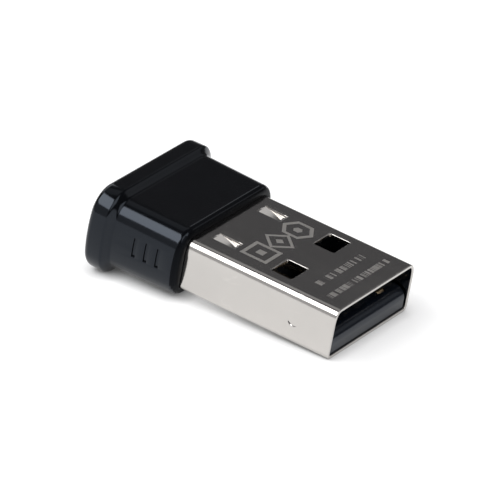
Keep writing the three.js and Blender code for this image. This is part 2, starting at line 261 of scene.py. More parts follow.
def cap_ring(half, radius, tilt):
    """A ring of the cap's outside, the same above and below, with bowed sides."""
    flank = (BOW_SHARE * half[1] - radius * (1 - math.sin(tilt))) / math.sin(tilt)
    return whole_ring(half, (radius, tilt, flank), (radius, tilt, flank))


def loft(bm, sections):
    """Grows a skin along X through sections of (x, ring points). Returns its two end edge loops."""
    order = bm.verts.layers.int.new("order")
    x, points = sections[0]
    ring = bmesh.ops.create_circle(bm, segments=len(points), radius=1.0)["verts"]
    for place, vert in enumerate(ring):
        vert[order] = place
        vert.co = (x, *points[place])
    first = edges = list(bm.edges)
    for x, points in sections[1:]:
        grown = bmesh.ops.extrude_edge_only(bm, edges=edges)["geom"]
        verts = {item for item in grown if isinstance(item, bmesh.types.BMVert)}
        for vert in verts:
            vert.co = (x, *points[vert[order]])
        edges = [
            item for item in grown
            if isinstance(item, bmesh.types.BMEdge) and all(vert in verts for vert in item.verts)
        ]
    return first, edges


def with_neighbours(faces):
    """The faces with their edges and corners, as the cutting operators want them."""
    edges = dict.fromkeys(edge for face in faces for edge in face.edges)
    verts = dict.fromkeys(vert for face in faces for vert in face.verts)
    return [*verts, *edges, *faces]


def score(bm, pick, axis, places):
    """Cuts the faces that pick chooses, square to an axis, at each place along it."""
    normal = Vector((0, 0, 0))
    normal[axis] = 1
    for place in places:
        faces = [face for face in bm.faces if pick(face)]
        bmesh.ops.bisect_plane(
            bm, geom=with_neighbours(faces), plane_co=normal * place, plane_no=normal, dist=1e-8
        )


def faces_within(bm, low, high):
    """Faces whose middle lies between two corners."""
    found = []
    for face in bm.faces:
        middle = face.calc_center_median()
        if all(low[i] <= middle[i] <= high[i] for i in range(3)):
            found.append(face)
    return found


def centred(middle, half):
    """The two ends of a span, from its middle."""
    return middle - half, middle + half


def push_in(bm, faces, shift):
    """Extrudes a patch of faces by a shift and removes the patch that it leaves behind."""
    grown = bmesh.ops.extrude_face_region(bm, geom=faces)["geom"]
    verts = [item for item in grown if isinstance(item, bmesh.types.BMVert)]
    bmesh.ops.translate(bm, verts=verts, vec=shift)
    left = [face for face in faces if face.is_valid]
    bmesh.ops.delete(bm, geom=left, context="FACES_ONLY")


def bevel_edges(bm, edges, width, segments):
    """Rounds edges in place."""
    bmesh.ops.bevel(
        bm, geom=edges, offset=width, offset_type="OFFSET", segments=segments, profile=0.5,
        affect="EDGES", material=-1, clamp_overlap=True,
    )


def slab(bm, low, high):
    """A box between two corners."""
    middle = [(a + b) / 2 for a, b in zip(low, high)]
    size = [b - a for a, b in zip(low, high)]
    matrix = Matrix.Translation(middle) @ Matrix.Diagonal((*size, 1.0))
    bmesh.ops.create_cube(bm, size=1.0, matrix=matrix)


def finish_piece(bm, name, node, materials, angle, edge=0.0):
    """Makes the mesh a piece with rounded edges that rides the body and stands for its node."""
    mesh = bpy.data.meshes.new(name)
    bmesh.ops.recalc_face_normals(bm, faces=bm.faces)
    for face in bm.faces:
        face.smooth = True
    if not edge:
        for seam in bm.edges:
            seam.smooth = seam.is_manifold and seam.calc_face_angle() < math.radians(angle)
    bm.to_mesh(mesh)
    bm.free()
    piece = bpy.data.objects.new(name, mesh)
    bpy.context.scene.collection.objects.link(piece)
    for material in materials:
        mesh.materials.append(material)
    if edge:
        rounding = piece.modifiers.new("Rounding", "BEVEL")
        rounding.width = edge
        rounding.segments = 2
        rounding.limit_method = "ANGLE"
        rounding.angle_limit = math.radians(angle)
        rounding.miter_outer = "MITER_ARC"
    weighting = piece.modifiers.new("Weighting", "WEIGHTED_NORMAL")
    weighting.weight = 100  # the largest faces lead
    weighting.keep_sharp = True
    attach(piece, "root")
    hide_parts(node)


# ---------------------------------------------------------------- shader helpers


class Shading:
    """Places nodes in one tree and joins them up."""

    def __init__(self, tree):
        self.tree = tree

    def node(self, kind, **settings):
        made = self.tree.nodes.new(kind)
        for key, value in settings.items():
            setattr(made, key, value)
        return made

    def feed(self, socket, value):
        """Links a socket to another, or sets it to a constant."""
        if isinstance(value, bpy.types.NodeSocket):
            self.tree.links.new(value, socket)
        else:
            socket.default_value = value

    def math(self, operation, first, second=0.0, clamp=False):
        made = self.node("ShaderNodeMath", operation=operation, use_clamp=clamp)
        self.feed(made.inputs[0], first)
        self.feed(made.inputs[1], second)
        return made.outputs[0]

    def between(self, value, low, high):
        """1 where low < value < high."""
        return self.math(
            "MULTIPLY", self.math("GREATER_THAN", value, low), self.math("LESS_THAN", value, high)
        )

    def blend(self, factor, first, second):
        """A colour from first to second."""
        made = self.node("ShaderNodeMix", data_type="RGBA", clamp_factor=True)
        self.feed(made.inputs[0], factor)
        self.feed(made.inputs[6], first)
        self.feed(made.inputs[7], second)
        return made.outputs[2]

    def remap(self, value, low, high, to_low, to_high):
        made = self.node("ShaderNodeMapRange", clamp=True)
        for index, item in enumerate((value, low, high, to_low, to_high)):
            self.feed(made.inputs[index], item)
        return made.outputs[0]

    def place(self, scale=(1.0, 1.0, 1.0), shift=(0.0, 0.0, 0.0)):
        """Object coordinates through a Mapping node."""
        source = self.node("ShaderNodeTexCoord")
        mapping = self.node("ShaderNodeMapping", vector_type="POINT")
        self.feed(mapping.inputs["Vector"], source.outputs["Object"])
        mapping.inputs["Location"].default_value = shift
        mapping.inputs["Scale"].default_value = scale
        return mapping.outputs["Vector"]

    def noise(self, vector, scale, detail=2.0, roughness=0.5):
        made = self.node("ShaderNodeTexNoise", noise_dimensions="3D")
        self.feed(made.inputs["Vector"], vector)
        self.feed(made.inputs["Scale"], scale)
        made.inputs["Detail"].default_value = detail
        made.inputs["Roughness"].default_value = roughness
        return made.outputs["Fac"]

    def group(self, tree, **values):
        """A node group with its inputs set by name. Returns its outputs."""
        made = self.node("ShaderNodeGroup", node_tree=tree)
        for key, value in values.items():
            self.feed(made.inputs[key.replace("_", " ").capitalize()], value)
        return made.outputs

    def bump(self, height, strength, distance):
        made = self.node("ShaderNodeBump")
        made.inputs["Strength"].default_value = strength
        made.inputs["Distance"].default_value = distance
        self.feed(made.inputs["Height"], height)
        return made.outputs["Normal"]


def new_group(name, inputs, outputs):
    """An empty node group with named sockets. Returns its shading, its inputs and its outputs."""
    tree = bpy.data.node_groups.new(name, "ShaderNodeTree")
    for label, kind, default in inputs:
        made = tree.interface.new_socket(name=label, in_out="INPUT", socket_type=kind)
        made.default_value = default
    for label, kind in outputs:
        tree.interface.new_socket(name=label, in_out="OUTPUT", socket_type=kind)
    entry = tree.nodes.new("NodeGroupInput")
    leave = tree.nodes.new("NodeGroupOutput")
    return Shading(tree), entry.outputs, leave.inputs


def built_once(name, build):
    """Returns the node group of that name, building it the first time."""
    return bpy.data.node_groups.get(name) or build(name)


def build_grain(name):
    """Fine surface grain: a height for bump and a slow tone for colour and roughness."""
    shading, entry, leave = new_group(
        name,
        [
            ("Vector", "NodeSocketVector", (0.0, 0.0, 0.0)),
            ("Fine scale", "NodeSocketFloat", 6000.0),
            ("Tone scale", "NodeSocketFloat", 400.0),
        ],
        [("Height", "NodeSocketFloat"), ("Tone", "NodeSocketFloat")],
    )
    fine = shading.noise(entry["Vector"], entry["Fine scale"], detail=4.0, roughness=0.6)
    tone = shading.noise(entry["Vector"], entry["Tone scale"], detail=3.0)
    shading.feed(leave["Height"], fine)
    shading.feed(leave["Tone"], shading.remap(tone, 0.3, 0.7, 0.0, 1.0))
    return shading.tree


def build_scuffs(name):
    """Sparse hairline scuffs: a mask of thin, broken lines."""
    shading, entry, leave = new_group(
        name,
        [
            ("Vector", "NodeSocketVector", (0.0, 0.0, 0.0)),
            ("Scale", "NodeSocketFloat", 500.0),
            ("Amount", "NodeSocketFloat", 0.3),
        ],
        [("Mask", "NodeSocketFloat")],
    )
    ridges = shading.noise(entry["Vector"], entry["Scale"], detail=1.0)
    distance = shading.math("ABSOLUTE", shading.math("SUBTRACT", ridges, 0.5))
    hairline = 0.012  # half width of a scuff, as a part of the noise's range
    line = shading.remap(distance, 0.0, hairline, 1.0, 0.0)
    spread = shading.math("MULTIPLY", entry["Scale"], 0.6)
    patches = shading.remap(shading.noise(entry["Vector"], spread), 0.52, 0.66, 0.0, 1.0)
    mask = shading.math("MULTIPLY", line, patches)
    shading.feed(leave["Mask"], shading.math("MULTIPLY", mask, entry["Amount"], clamp=True))
    return shading.tree


def build_edge_wear(name):
    """Worn edges: a mask that is strong where the surface turns a tight corner."""
    shading, entry, leave = new_group(
        name,
        [("Radius", "NodeSocketFloat", 0.12 * MM), ("Amount", "NodeSocketFloat", 1.0)],
        [("Mask", "NodeSocketFloat")],
    )
    softened = shading.node("ShaderNodeBevel", samples=6)
    shading.feed(softened.inputs["Radius"], entry["Radius"])
    surface = shading.node("ShaderNodeNewGeometry")
    facing = shading.node("ShaderNodeVectorMath", operation="DOT_PRODUCT")
    shading.feed(facing.inputs[0], softened.outputs["Normal"])
    shading.feed(facing.inputs[1], surface.outputs["Normal"])
    turned = shading.remap(facing.outputs["Value"], 0.9, 1.0, 1.0, 0.0)
    shading.feed(leave["Mask"], shading.math("MULTIPLY", turned, entry["Amount"], clamp=True))
    return shading.tree


def build_etching(name):
    """Generic laser marks on the plug's top: two rows of plain dashes and three outline signs."""
    shading, entry, leave = new_group(
        name,
        [("Vector", "NodeSocketVector", (0.0, 0.0, 0.0))],
        [("Mask", "NodeSocketFloat")],
    )
    split = shading.node("ShaderNodeSeparateXYZ")
    shading.feed(split.inputs[0], entry["Vector"])
    along, across, up = split.outputs
    on_top = shading.math("GREATER_THAN", up, -0.05)  # only the outer face, not inside the plug
    total = None
    # Each row is a run of fine upright bars whose widths and gaps change by chance.
    for middle, half_height, half_row, cell in BAR_ROWS:
        row = shading.between(along, middle - half_height, middle + half_height)
        row = shading.math("MULTIPLY", row, shading.between(across, -half_row, half_row))
        number = shading.math("FLOOR", shading.math("DIVIDE", across, cell))
        chance = shading.node("ShaderNodeTexWhiteNoise", noise_dimensions="1D")
        shading.feed(chance.inputs["W"], shading.math("ADD", number, middle))
        width = shading.remap(chance.outputs["Value"], 0.18, 0.9, 0.0, 0.95)
        place = shading.math("FRACT", shading.math("DIVIDE", across, cell))
        row = shading.math("MULTIPLY", row, shading.math("LESS_THAN", place, width))
        total = row if total is None else shading.math("MAXIMUM", total, row)
    # Each sign is an outline: the points whose distance from its middle lies between two limits.
    for middle_y, kind in SIGNS:
        u = shading.math("ABSOLUTE", shading.math("SUBTRACT", along, SIGNS_ALONG))
        v = shading.math("ABSOLUTE", shading.math("SUBTRACT", across, middle_y))
        if kind == "square":
            reach = shading.math("MAXIMUM", u, v)
        elif kind == "diamond":
            reach = shading.math("MULTIPLY", shading.math("ADD", u, v), 0.88)
        else:
            lean_u = shading.math("MULTIPLY", u, 0.866)  # cosine and sine of 30 degrees
            lean_v = shading.math("MULTIPLY", v, 0.5)
            reach = shading.math("MAXIMUM", shading.math("ADD", lean_u, lean_v), v)
        outline = shading.between(reach, *SIGN_OUTLINE)
        core = shading.math("LESS_THAN", reach, SIGN_CORE)
        total = shading.math("MAXIMUM", total, shading.math("MAXIMUM", outline, core))
    shading.feed(leave["Mask"], shading.math("MULTIPLY", total, on_top))
    return shading.tree


def new_material(name):
    """A material with only a shader and an output. Returns it, its shading and the shader."""
    material = bpy.data.materials.new(name)
    material.use_nodes = True
    tree = material.node_tree
    tree.nodes.clear()
    shading = Shading(tree)
    shader = shading.node("ShaderNodeBsdfPrincipled")
    output = shading.node("ShaderNodeOutputMaterial")
    shading.feed(output.inputs["Surface"], shader.outputs["BSDF"])
    return material, shading, shader


def grain_of(shading, vector, fine_scale, tone_scale):
    """Surface grain in a material: its Height and its Tone."""
    tree = built_once("Surface grain", build_grain)
    return shading.group(tree, vector=vector, fine_scale=fine_scale, tone_scale=tone_scale)


def scuffs_of(shading, vector, scale, amount):
    """The mask of the scuffs in a material."""
    tree = built_once("Hairline scuffs", build_scuffs)
    return shading.group(tree, vector=vector, scale=scale, amount=amount)["Mask"]


def wear_of(shading, radius, amount):
    """The mask of the worn edges in a material."""
    tree = built_once("Edge wear", build_edge_wear)
    return shading.group(tree, radius=radius, amount=amount)["Mask"]


def shade(colour, factor):
    """A colour made lighter or darker, with full alpha."""
    return (*(min(channel * factor, 1.0) for channel in colour), 1.0)


def drift(shading, tone, colour, darkest, palest):
    """The colour, drifting with a tone between a darker and a paler shade of itself."""
    return shading.blend(tone, shade(colour, darkest), shade(colour, palest))


# ---------------------------------------------------------------- materials


def plastic_material(
    name, colour, roughness, wear, fine_scale=9000.0, bump=0.1, specular=0.5, tint=(1.0, 1.0, 1.0)
):
    """Moulded plastic: faint flow tones, hairline scuffs and slightly duller, paler edges."""
    material, shading, shader = new_material(name)
    vector = shading.place()
    grain = grain_of(shading, vector, fine_scale, tone_scale=500.0)
    scuffs = scuffs_of(shading, vector, scale=900.0, amount=0.5)
    edges = wear_of(shading, 0.1 * MM, wear)
    base = drift(shading, grain["Tone"], colour, darkest=0.85, palest=1.15)
    marks = shading.math("MAXIMUM", scuffs, edges)
    shading.feed(shader.inputs["Base Color"], shading.blend(marks, base, shade(colour, 2.6)))
    rough = shading.remap(grain["Tone"], 0.0, 1.0, roughness * 0.85, roughness * 1.15)
    rough = shading.math("ADD", rough, shading.math("MULTIPLY", marks, 0.12))
    shading.feed(shader.inputs["Roughness"], rough)
    shading.feed(shader.inputs["Normal"], shading.bump(grain["Height"], bump, 0.004 * MM))
    shader.inputs["IOR"].default_value = 1.41
    shader.inputs["Specular IOR Level"].default_value = specular
    shader.inputs["Specular Tint"].default_value = shade(tint, 1.0)
    return material


def plated_material(name, colour, roughness, etched):
    """Bright plated sheet: grain rolled along it, soft blotches, paler edges and etched marks."""
    material, shading, shader = new_material(name)
    shader.inputs["Metallic"].default_value = 1.0
    rolled = shading.place((0.12, 1.0, 1.0))
    grain = grain_of(shading, rolled, fine_scale=7000.0, tone_scale=900.0)
    cloudy = shading.noise(shading.place(), 260.0, detail=3.0)
    scuffs = scuffs_of(shading, shading.place(), scale=700.0, amount=0.6)
    edges = wear_of(shading, 0.08 * MM, amount=0.8)
    base = drift(shading, cloudy, colour, darkest=0.94, palest=1.06)
    base = shading.blend(shading.math("MAXIMUM", scuffs, edges), base, shade(colour, 1.18))
    rough = shading.remap(grain["Tone"], 0.0, 1.0, roughness * 0.85, roughness * 1.2)
    rough = shading.math("ADD", rough, shading.math("MULTIPLY", scuffs, 0.1))
    if etched:
        # In millimetres from the cap's front face, the middle line and the plug's top.
        from_cap = shading.place((1 / MM, 1 / MM, 1 / MM), (-CAP_FRONT_X / MM, 0.0, -TOP_Z / MM))
        marks = shading.group(built_once("Etched marks", build_etching), vector=from_cap)["Mask"]
        base = shading.blend(marks, base, shade(colour, 0.9))
        rough = shading.math("ADD", rough, shading.math("MULTIPLY", marks, 0.42))
    shading.feed(shader.inputs["Base Color"], base)
    shading.feed(shader.inputs["Roughness"], rough)
    shading.feed(shader.inputs["Normal"], shading.bump(grain["Height"], 0.12, 0.003 * MM))
    return material


def gold_material(colour):
    """Gold flash over nickel, with wiping marks along the contact."""
    material, shading, shader = new_material("contact_gold")
    shader.inputs["Metallic"].default_value = 1.0
    wiped = shading.place((0.06, 1.0, 1.0))
    grain = grain_of(shading, wiped, fine_scale=9000.0, tone_scale=2500.0)
    base = drift(shading, grain["Tone"], colour, darkest=0.88, palest=1.1)
    shading.feed(shader.inputs["Base Color"], base)
    shading.feed(shader.inputs["Roughness"], shading.remap(grain["Tone"], 0.0, 1.0, 0.16, 0.3))
    shading.feed(shader.inputs["Normal"], shading.bump(grain["Height"], 0.15, 0.003 * MM))
    return material


def tinned_material():
    """Dull tin, as on leads and chip ends."""
    material, shading, shader = new_material("tinned_lead")
    shader.inputs["Metallic"].default_value = 1.0
    grain = grain_of(shading, shading.place(), fine_scale=12000.0, tone_scale=3000.0)
    tin = (0.62, 0.63, 0.64)
    base = drift(shading, grain["Tone"], tin, darkest=0.85, palest=1.1)
    shading.feed(shader.inputs["Base Color"], base)
    shading.feed(shader.inputs["Roughness"], shading.remap(grain["Tone"], 0.0, 1.0, 0.28, 0.45))
    shading.feed(shader.inputs["Normal"], shading.bump(grain["Height"], 0.3, 0.008 * MM))
    return material


def ceramic_material(name, colour, roughness):
    """Fired ceramic or ferrite: speckled and slightly pitted."""
    material, shading, shader = new_material(name)
    grain = grain_of(shading, shading.place(), fine_scale=25000.0, tone_scale=6000.0)
    base = drift(shading, grain["Tone"], colour, darkest=0.86, palest=1.12)
    rough = shading.remap(grain["Height"], 0.3, 0.7, roughness - 0.1, roughness + 0.1)
    shading.feed(shader.inputs["Base Color"], base)
    shading.feed(shader.inputs["Roughness"], rough)
    shading.feed(shader.inputs["Normal"], shading.bump(grain["Height"], 0.4, 0.006 * MM))
    return material


def board_material(colour):
    """Solder mask over copper tracks, with the laminate's pale edge showing at the sides."""
    material, shading, shader = new_material("board")
    vector = shading.place((1 / MM, 1 / MM, 1 / MM))
    grain = grain_of(shading, vector, fine_scale=6.0, tone_scale=0.8)
    tracks = shading.node("ShaderNodeTexVoronoi", distance="CHEBYCHEV", feature="F1")
    shading.feed(tracks.inputs["Vector"], vector)
    tracks.inputs["Scale"].default_value = 0.9
    tracks.inputs["Randomness"].default_value = 0.35
    rings = shading.math("FRACT", shading.math("MULTIPLY", tracks.outputs["Distance"], 5.0))
    copper = shading.between(rings, 0.3, 0.62)
    mask = drift(shading, grain["Tone"], colour, darkest=0.9, palest=1.1)
    coated = shading.blend(copper, mask, shade(colour, 1.7))
    laminate = (0.42, 0.38, 0.22, 1.0)
    surface = shading.node("ShaderNodeNewGeometry")
    split = shading.node("ShaderNodeSeparateXYZ")
    shading.feed(split.inputs[0], surface.outputs["Normal"])
    flat = shading.math("GREATER_THAN", shading.math("ABSOLUTE", split.outputs["Z"]), 0.7)
    shading.feed(shader.inputs["Base Color"], shading.blend(flat, laminate, coated))
    shading.feed(shader.inputs["Roughness"], shading.remap(flat, 0.0, 1.0, 0.8, 0.32))
    height = shading.math("ADD", copper, shading.math("MULTIPLY", grain["Height"], 0.1))
    shading.feed(shader.inputs["Normal"], shading.bump(height, 0.5, 0.02 * MM))
    return material


def floor_material():
    """Plain pale paper that glows softly and evenly, with a painted contact shadow: ambient occlusion
    cuts its glow where the adapter stands close over it.
    """
    material, shading, shader = new_material("floor_paper")
    tone = shading.noise(shading.place(), 40.0, detail=3.0)
    pale = shading.blend(tone, (0.56, 0.56, 0.565, 1.0), (0.59, 0.59, 0.59, 1.0))
    shading.feed(shader.inputs["Base Color"], pale)
    shader.inputs["Roughness"].default_value = 0.9
    shader.inputs["Specular IOR Level"].default_value = 0.0
    # Painted contact shadow: ambient occlusion darkens the floor's glow close under the adapter.
    painted_contact_shadow = shading.node("ShaderNodeAmbientOcclusion", samples=8)
    painted_contact_shadow.inputs["Distance"].default_value = 1.2 * MM
    shading.feed(shader.inputs["Emission Color"], painted_contact_shadow.outputs["Color"])
    shader.inputs["Emission Strength"].default_value = 0.57
    return material


# ---------------------------------------------------------------- cap


def eased(t, ends):
    """A straight ramp from 0 to 1 that is rounded over a share of it at both ends."""
    if t < ends:
        return t * t / (2 * ends * (1 - ends))
    if t > 1 - ends:
        return 1 - (1 - t) ** 2 / (2 * ends * (1 - ends))
    return (t - ends / 2) / (1 - ends)


def cap_sections(settings):
    """The cap's outside from the rear face forwards, then its hollow from the front face back."""
    rim_steps = 8
    ramp_steps = 20
    rear = cap_low.x
    ridge = rear + settings.flange_length
    foot = ridge + settings.ramp_length
    neck = (settings.neck_half_width, settings.neck_half_height)
    front = (settings.front_half_width, settings.front_half_height)
    sections = []

    def add(x, half, radius, inset, tilt):
        shrunk = [size - inset for size in half]
        sections.append((x, cap_ring(shrunk, radius - inset, tilt)))

    for step in range(rim_steps + 1):
        turn = math.pi / 2 * step / rim_steps
        inset = settings.flange_edge * (1 - math.sin(turn))
        x = rear + settings.flange_edge * (1 - math.cos(turn))
        add(x, FLANGE_HALF, settings.flange_radius, inset, settings.flange_tilt)
    for step in range(ramp_steps + 1):
        t = step / ramp_steps
        down = eased(t, 0.35)
        half = [f + (b - f) * down for f, b in zip(FLANGE_HALF, neck)]
        radius = settings.flange_radius + (settings.body_radius - settings.flange_radius) * down
        tilt = settings.flange_tilt + (settings.body_tilt - settings.flange_tilt) * down
        add(ridge + (foot - ridge) * t, half, radius, 0.0, tilt)
    for step in range(rim_steps + 1):
        turn = math.pi / 2 * step / rim_steps
        inset = settings.front_edge * (1 - math.cos(turn))
        x = CAP_FRONT_X - settings.front_edge * (1 - math.sin(turn))
        add(x, front, settings.body_radius, inset, settings.body_tilt)

    lip = 0.08 * MM
    step_x = shell_low.x - GAP
    rear_inset = 0.45 * MM
    rear_wall = 0.9 * MM
    for x, inset in (
        (CAP_FRONT_X, -GAP - lip),
        (CAP_FRONT_X - lip, -GAP),
        (step_x, -GAP),
        (step_x, rear_inset),
        (rear + rear_wall, rear_inset),
    ):
        sections.append((x, shell_ring(inset)))
    return sections


def cut_grooves(bm, settings):
    """Three short upright grooves in each side of the cap."""
    half_width = 0.17 * MM
    span_z = (shell_low.z + 1.6 * MM, shell_low.z + 3.3 * MM)
    side_y = settings.front_half_width
    first_x = CAP_FRONT_X - 4.1 * MM
    places = [first_x + index * 1.12 * MM for index in range(3)]

    def is_side(face):
        middle = face.calc_center_median()
        outermost = abs(middle.y) > side_y - 0.4 * MM
        return abs(face.normal.y) > 0.9 and outermost and middle.x > first_x - MM

    score(bm, is_side, 0, [x + end * half_width for x in places for end in (-1, 1)])
    score(bm, is_side, 2, span_z)
    for side in (-1, 1):
        for x in places:
            spans = (centred(x, half_width), centred(side * side_y, 0.3 * MM), span_z)
            patch = faces_within(bm, *zip(*spans))
            push_in(bm, patch, (0, -side * settings.groove_depth, 0))


class ADAPTER_OT_cap(bpy.types.Operator):
    """Model the flanged cap with its ramp, rounded edges, hollow and grip grooves"""

    bl_idname = "adapter.cap"
    bl_label = "Cap"

    def execute(self, context):
        settings = context.scene.adapter_cap
        bm = bmesh.new()
        first, last = loft(bm, cap_sections(settings))
        bmesh.ops.edgeloop_fill(bm, edges=first)
        bmesh.ops.edgeloop_fill(bm, edges=last)
        bmesh.ops.recalc_face_normals(bm, faces=bm.faces)
        cut_grooves(bm, settings)
        # The front face and its rim take a rougher copy of the plastic with a weak mirror image,
        # which keeps them dark.
        for face in bm.faces:
            at_front = face.calc_center_median().x > CAP_FRONT_X - settings.front_edge
            forwards = face.normal.x > max(0.25, abs(face.normal.z))
            face.material_index = int(at_front and forwards)
        look = {"colour": settings.colour, "wear": 0.35, "tint": settings.gloss_tint}
        gloss = plastic_material("cap_plastic", roughness=0.13, **look)
        dull = plastic_material("cap_plastic_dull", roughness=0.4, specular=0.12, **look)
        finish_piece(
            bm, "cap_moulding", "rear_cap", [gloss, dull],
            edge=0.04 * MM, angle=40.0,
        )
        return {"FINISHED"}


# ---------------------------------------------------------------- plug shell


def bend_lance(bm, settings, side):
    """Frees one tab on three sides, narrows it a little and bends it down into the plug."""
    rear_x = CAP_FRONT_X + settings.lance_start
    front_x = rear_x + settings.lance_length
    half = settings.lance_width / 2
    middle_y = side * settings.lance_side
    spans = ((rear_x, front_x), centred(middle_y, half), centred(TOP_Z, SKIN))
    low, high = zip(*spans)
    tab = set(faces_within(bm, low, high))

    def is_free(edge):
        on_rim = not tab.isdisjoint(edge.link_faces) and not tab.issuperset(edge.link_faces)
        return on_rim and not all(abs(vert.co.x - rear_x) < SAME for vert in edge.verts)

    free = [edge for edge in bm.edges if is_free(edge)]
    bmesh.ops.split_edges(bm, edges=free)
    slit = 0.03 * MM  # taken off each side of the tab
    shortened = 0.98  # length of the bent tab, as a share of the flat one's
    early = 0.72  # share of the drop that a straight tab would have; the rest comes from its curl
    for vert in {vert for face in faces_within(bm, low, high) for vert in face.verts}:
        along = (vert.co.x - rear_x) / settings.lance_length
        if along < 1e-5:
            continue
        vert.co.y = middle_y + (vert.co.y - middle_y) * (1 - slit / half)
        vert.co.x = rear_x + (vert.co.x - rear_x) * shortened
        vert.co.z = TOP_Z - settings.lance_drop * along * (early + (1 - early) * along)


def press_dimple(bm, side, face_y):
    """Presses a shallow dent, deepest at its lower rear, into the side wall's face at face_y."""
    centre = Vector((CAP_FRONT_X + 10.75 * MM, face_y, shell_low.z + 2.12 * MM))
    half = 0.75 * MM  # of the square patch that the dent is pressed into
    radius = 0.6 * MM
    depth = 0.09 * MM
    edge = 0.1 * MM  # width over which the dent runs out

    def is_wall(face):
        return abs(face.normal.y) > 0.999 and abs(face.calc_center_median().y - face_y) < 0.02 * MM

    def is_beside(face):
        return is_wall(face) and abs(face.calc_center_median().x - centre.x) < half

    score(bm, is_wall, 0, centred(centre.x, half))
    score(bm, is_beside, 2, centred(centre.z, half))
    spans = (centred(centre.x, half), centred(face_y, 0.02 * MM), centred(centre.z, half))
    patch = faces_within(bm, *zip(*spans))
    rim = dict.fromkeys(edge for face in patch for edge in face.edges)
    bmesh.ops.subdivide_edges(bm, edges=list(rim), cuts=31, use_grid_fill=True)
    low_rear = Vector((-0.62, 0.0, -0.78))
    for vert in bm.verts:
        offset = vert.co - centre
        if abs(offset.y) > NEAR or offset.length > radius:
            continue
        inside = min((radius - offset.length) / edge, 1.0)
        tilt = 0.5 + 0.5 * offset.dot(low_rear) / radius
        vert.co.y -= side * depth * tilt ** 1.5 * inside * inside * (3 - 2 * inside)


class ADAPTER_OT_plug_shell(bpy.types.Operator):
    """Fold the plug shell from one sheet, with its windows, bent tabs, dimples and seam"""

    bl_idname = "adapter.plug_shell"
    bl_label = "Plug shell"

    def execute(self, context):
        settings = context.scene.adapter_plug
        bm = bmesh.new()
        ring = shell_ring(0.0)
        loft(bm, [(shell_low.x, ring), (MOUTH_X, ring)])
        bmesh.ops.recalc_face_normals(bm, faces=bm.faces)
        # An open tube has no inside of its own, so its faces are turned out here.
        if sum(face.normal.z * (face.calc_center_median().z - MID_Z) for face in bm.faces) < 0:
            bmesh.ops.reverse_faces(bm, faces=bm.faces)

        def is_top(face):
            return face.normal.z > 0.999

        def is_bottom(face):
            return face.normal.z < -0.999

        def is_flat(face):
            return is_top(face) or is_bottom(face)

        window_x = MOUTH_X - settings.window_back
        lance_x = CAP_FRONT_X + settings.lance_start
        span_x = centred(window_x, settings.window_length / 2)
        score(bm, is_flat, 0, span_x)
        tab_steps = 10
        tab_cuts = [
            lance_x + settings.lance_length * step / tab_steps for step in range(tab_steps + 1)
        ]
        score(bm, is_top, 0, tab_cuts)
        for side in (-1, 1):
            score(bm, is_flat, 1, centred(side * settings.window_side, settings.window_width / 2))
            score(bm, is_top, 1, centred(side * settings.lance_side, settings.lance_width / 2))
        seam = centred(0.0, 0.02 * MM)
        score(bm, is_bottom, 1, seam)
        holes = [((shell_low.x, MOUTH_X), seam, centred(shell_low.z, SKIN))]
        for side in (-1, 1):
            span_y = centred(side * settings.window_side, settings.window_width / 2)
            holes.append((span_x, span_y, (shell_low.z - SKIN, TOP_Z + SKIN)))
        gone = [face for spans in holes for face in faces_within(bm, *zip(*spans))]
        bmesh.ops.delete(bm, geom=gone, context="FACES")
        for side in (-1, 1):
            bend_lance(bm, settings, side)
        bmesh.ops.solidify(bm, geom=list(bm.faces), thickness=settings.sheet)
        self.round_windows(bm, settings, window_x)
        self.round_rims(bm, settings, window_x)
        for side in (-1, 1):
            press_dimple(bm, side, side * SHELL_HALF[0])
            press_dimple(bm, side, side * (SHELL_HALF[0] - settings.sheet))
        material = plated_material("plug_steel", settings.colour, roughness=0.12, etched=True)
        finish_piece(bm, "folded_shell", "plug_shell", [material], angle=42.0)
        return {"FINISHED"}

    def round_windows(self, bm, settings, window_x):
        """Rounds the four upright corners of each window."""
        half_x = settings.window_length / 2
        half_y = settings.window_width / 2
        upright = []
        for edge in bm.edges:
            low, high = (vert.co for vert in edge.verts)
            if (low.xy - high.xy).length > NEAR or abs(low.z - high.z) < 0.1 * MM:
                continue
            at_x = abs(abs(low.x - window_x) - half_x) < NEAR
            at_y = abs(abs(abs(low.y) - settings.window_side) - half_y) < NEAR
            if at_x and at_y:
                upright.append(edge)
        bevel_edges(bm, upright, 0.16 * MM, segments=4)

    def round_rims(self, bm, settings, window_x):
        """Rounds the rims of the mouth, of the windows and of the slots around the bent tabs."""
        mouth, windows, slots = [], [], []
        lance_x = CAP_FRONT_X + settings.lance_start
        lance_end = lance_x + settings.lance_length
        window_half = settings.window_length / 2
        window_inner = settings.window_side - settings.window_width / 2
        for edge in bm.edges:
            if not edge.is_manifold or edge.calc_face_angle() < math.radians(60):
                continue
            ends = [vert.co for vert in edge.verts]
            middle = (ends[0] + ends[1]) / 2
            on_top = abs(middle.z - TOP_Z) < NEAR
            flat = abs(ends[0].z - ends[1].z) < SAME
            on_skin = flat and (on_top or abs(middle.z - shell_low.z) < NEAR)
            beside_window = abs(middle.x - window_x) < window_half + NEAR
            if all(abs(end.x - MOUTH_X) < SAME for end in ends):
                mouth.append(edge)
            elif on_skin and beside_window and abs(middle.y) > window_inner - NEAR:
                windows.append(edge)
            elif flat and on_top and lance_x - NEAR < middle.x < lance_end + NEAR:
                slots.append(edge)
        bevel_edges(bm, mouth, 1.6 * settings.edge, segments=3)
        bevel_edges(bm, windows, 1.4 * settings.edge, segments=3)
        bevel_edges(bm, [edge for edge in slots if edge.is_valid], settings.edge, segments=2)


# ---------------------------------------------------------------- carrier and contacts


